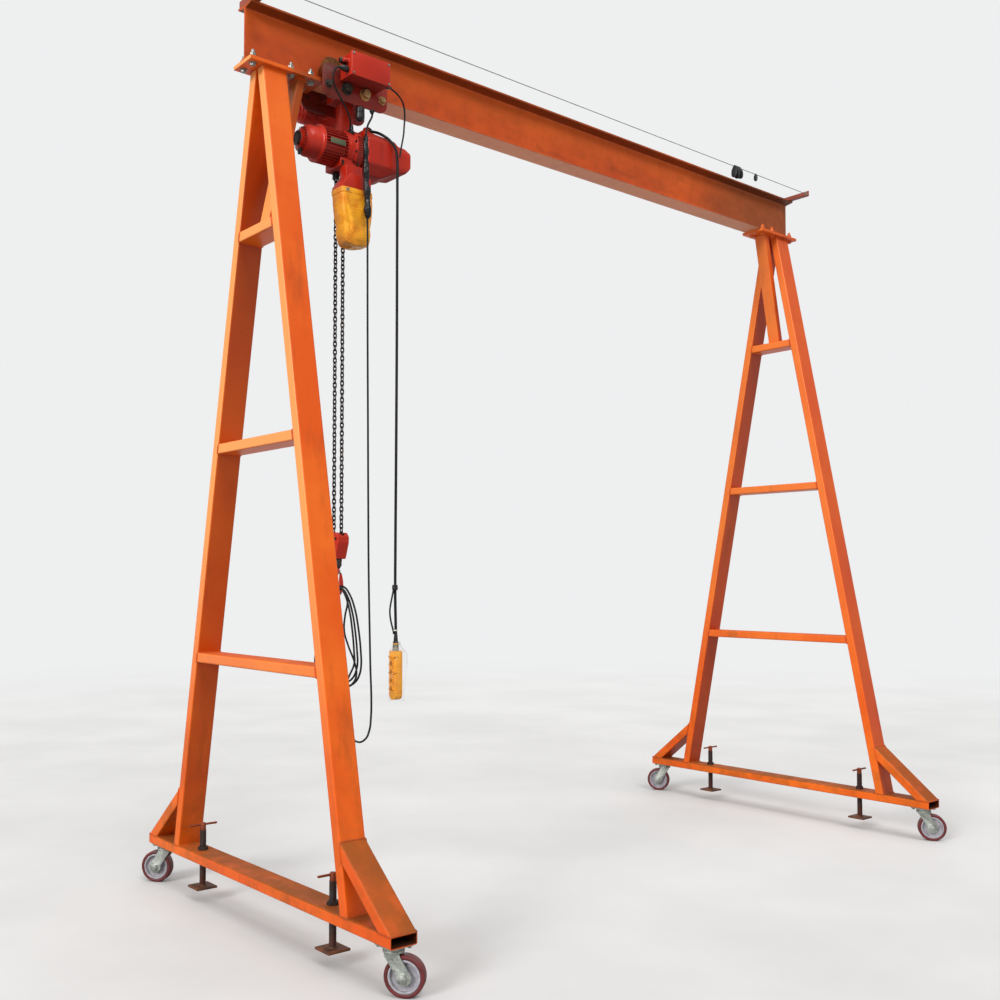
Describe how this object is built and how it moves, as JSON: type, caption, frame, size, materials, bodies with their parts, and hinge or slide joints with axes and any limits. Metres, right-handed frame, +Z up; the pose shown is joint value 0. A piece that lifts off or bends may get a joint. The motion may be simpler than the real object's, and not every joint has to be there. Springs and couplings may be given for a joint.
{
  "type": "gantry crane",
  "caption": "Portable gantry crane: two welded A-frames on swivel casters carry an I-beam, with an electric chain hoist on a powered trolley, a chain bag, a pendant and screw jacks",
  "frame": {"origin": "on the floor, at the centre between the two A-frames and midway along their base beams", "axes": "+X runs along the beam from the near frame to the far frame, -Y is the front where the control box and the pendant hang, +Z is up"},
  "size_m": [4.02, 2.0974, 3.991],
  "materials": {
    "orange_paint": "satin",
    "red_paint": "satin",
    "dark_steel": "dull",
    "wire": "dull",
    "galvanised": "satin",
    "cast_core": "dull",
    "burgundy_tread": "satin",
    "rusty_plate": "rusty",
    "yellow_cloth": "woven",
    "chain_steel": "oiled",
    "yellow_plastic": "satin",
    "black_plastic": "satin",
    "cable_sheath": "satin"
  },
  "bodies": {
    "frame": {"base_beams": "orange_paint", "near_legs": "orange_paint", "far_legs": "orange_paint", "rungs": "orange_paint", "corner_braces": "orange_paint", "knee_struts": "orange_paint", "head_plates": "orange_paint", "main_beam": "orange_paint", "cross_angles": "dark_steel", "guide_wire": "wire", "cable_clips": "black_plastic", "caster_plates": "galvanised"},
    "trolley": {"trolley_plates": "red_paint", "trolley_wheels": "dark_steel", "trolley_drive": "red_paint", "control_box": "red_paint", "hoist_yoke": "red_paint", "hoist_motor": "red_paint", "fan_cowl": "red_paint", "gear_case": "red_paint", "hoist_cover": "red_paint", "chain_guide": "red_paint", "chain_bag": "yellow_cloth", "load_chain": "chain_steel", "hook_block": "red_paint", "hook": "red_paint", "pendant": "yellow_plastic", "power_cable": "cable_sheath", "cable_hank": "cable_sheath", "cable_plug": "black_plastic", "pendant_cable": "cable_sheath", "pendant_branch": "cable_sheath", "trolley_lead": "cable_sheath"},
    "caster_near_front": {"fork_near_front": "galvanised"},
    "wheel_near_front": {"core_near_front": "cast_core", "tyre_near_front": "burgundy_tread"},
    "jack_near_front": {"screw_near_front": "dark_steel", "foot_near_front": "rusty_plate"},
    "caster_near_rear": {"fork_near_rear": "galvanised"},
    "wheel_near_rear": {"core_near_rear": "cast_core", "tyre_near_rear": "burgundy_tread"},
    "jack_near_rear": {"screw_near_rear": "dark_steel", "foot_near_rear": "rusty_plate"},
    "caster_far_front": {"fork_far_front": "galvanised"},
    "wheel_far_front": {"core_far_front": "cast_core", "tyre_far_front": "burgundy_tread"},
    "jack_far_front": {"screw_far_front": "dark_steel", "foot_far_front": "rusty_plate"},
    "caster_far_rear": {"fork_far_rear": "galvanised"},
    "wheel_far_rear": {"core_far_rear": "cast_core", "tyre_far_rear": "burgundy_tread"},
    "jack_far_rear": {"screw_far_rear": "dark_steel", "foot_far_rear": "rusty_plate"}
  },
  "joints": [
    {"name": "trolley_travel", "type": "slide", "parent": "frame", "child": "trolley", "axis": [1, 0, 0], "range_m": [0, 2.88]},
    {"name": "swivel_near_front", "type": "hinge", "parent": "frame", "child": "caster_near_front", "pos_m": [-1.88, -0.94, 0.17], "axis": [0, 0, 1], "continuous": true},
    {"name": "roll_near_front", "type": "hinge", "parent": "caster_near_front", "child": "wheel_near_front", "pos_m": [-1.853, -0.97217, 0.075], "axis": [0.766, 0.6428, 0], "continuous": true},
    {"name": "jack_near_front_slide", "type": "slide", "parent": "frame", "child": "jack_near_front", "axis": [0, 0, 1], "range_m": [-0.057, 0.11]},
    {"name": "swivel_near_rear", "type": "hinge", "parent": "frame", "child": "caster_near_rear", "pos_m": [-1.88, 0.94, 0.17], "axis": [0, 0, 1], "continuous": true},
    {"name": "roll_near_rear", "type": "hinge", "parent": "caster_near_rear", "child": "wheel_near_rear", "pos_m": [-1.907, 0.97217, 0.075], "axis": [-0.766, -0.6428, 0], "continuous": true},
    {"name": "jack_near_rear_slide", "type": "slide", "parent": "frame", "child": "jack_near_rear", "axis": [0, 0, 1], "range_m": [-0.057, 0.11]},
    {"name": "swivel_far_front", "type": "hinge", "parent": "frame", "child": "caster_far_front", "pos_m": [1.88, -0.94, 0.17], "axis": [0, 0, 1], "continuous": true},
    {"name": "roll_far_front", "type": "hinge", "parent": "caster_far_front", "child": "wheel_far_front", "pos_m": [1.90409, -0.9744, 0.075], "axis": [0.8192, 0.5736, 0], "continuous": true},
    {"name": "jack_far_front_slide", "type": "slide", "parent": "frame", "child": "jack_far_front", "axis": [0, 0, 1], "range_m": [-0.057, 0.11]},
    {"name": "swivel_far_rear", "type": "hinge", "parent": "frame", "child": "caster_far_rear", "pos_m": [1.88, 0.94, 0.17], "axis": [0, 0, 1], "continuous": true},
    {"name": "roll_far_rear", "type": "hinge", "parent": "caster_far_rear", "child": "wheel_far_rear", "pos_m": [1.85591, 0.9744, 0.075], "axis": [-0.8192, -0.5736, 0], "continuous": true},
    {"name": "jack_far_rear_slide", "type": "slide", "parent": "frame", "child": "jack_far_rear", "axis": [0, 0, 1], "range_m": [-0.057, 0.11]}
  ]
}
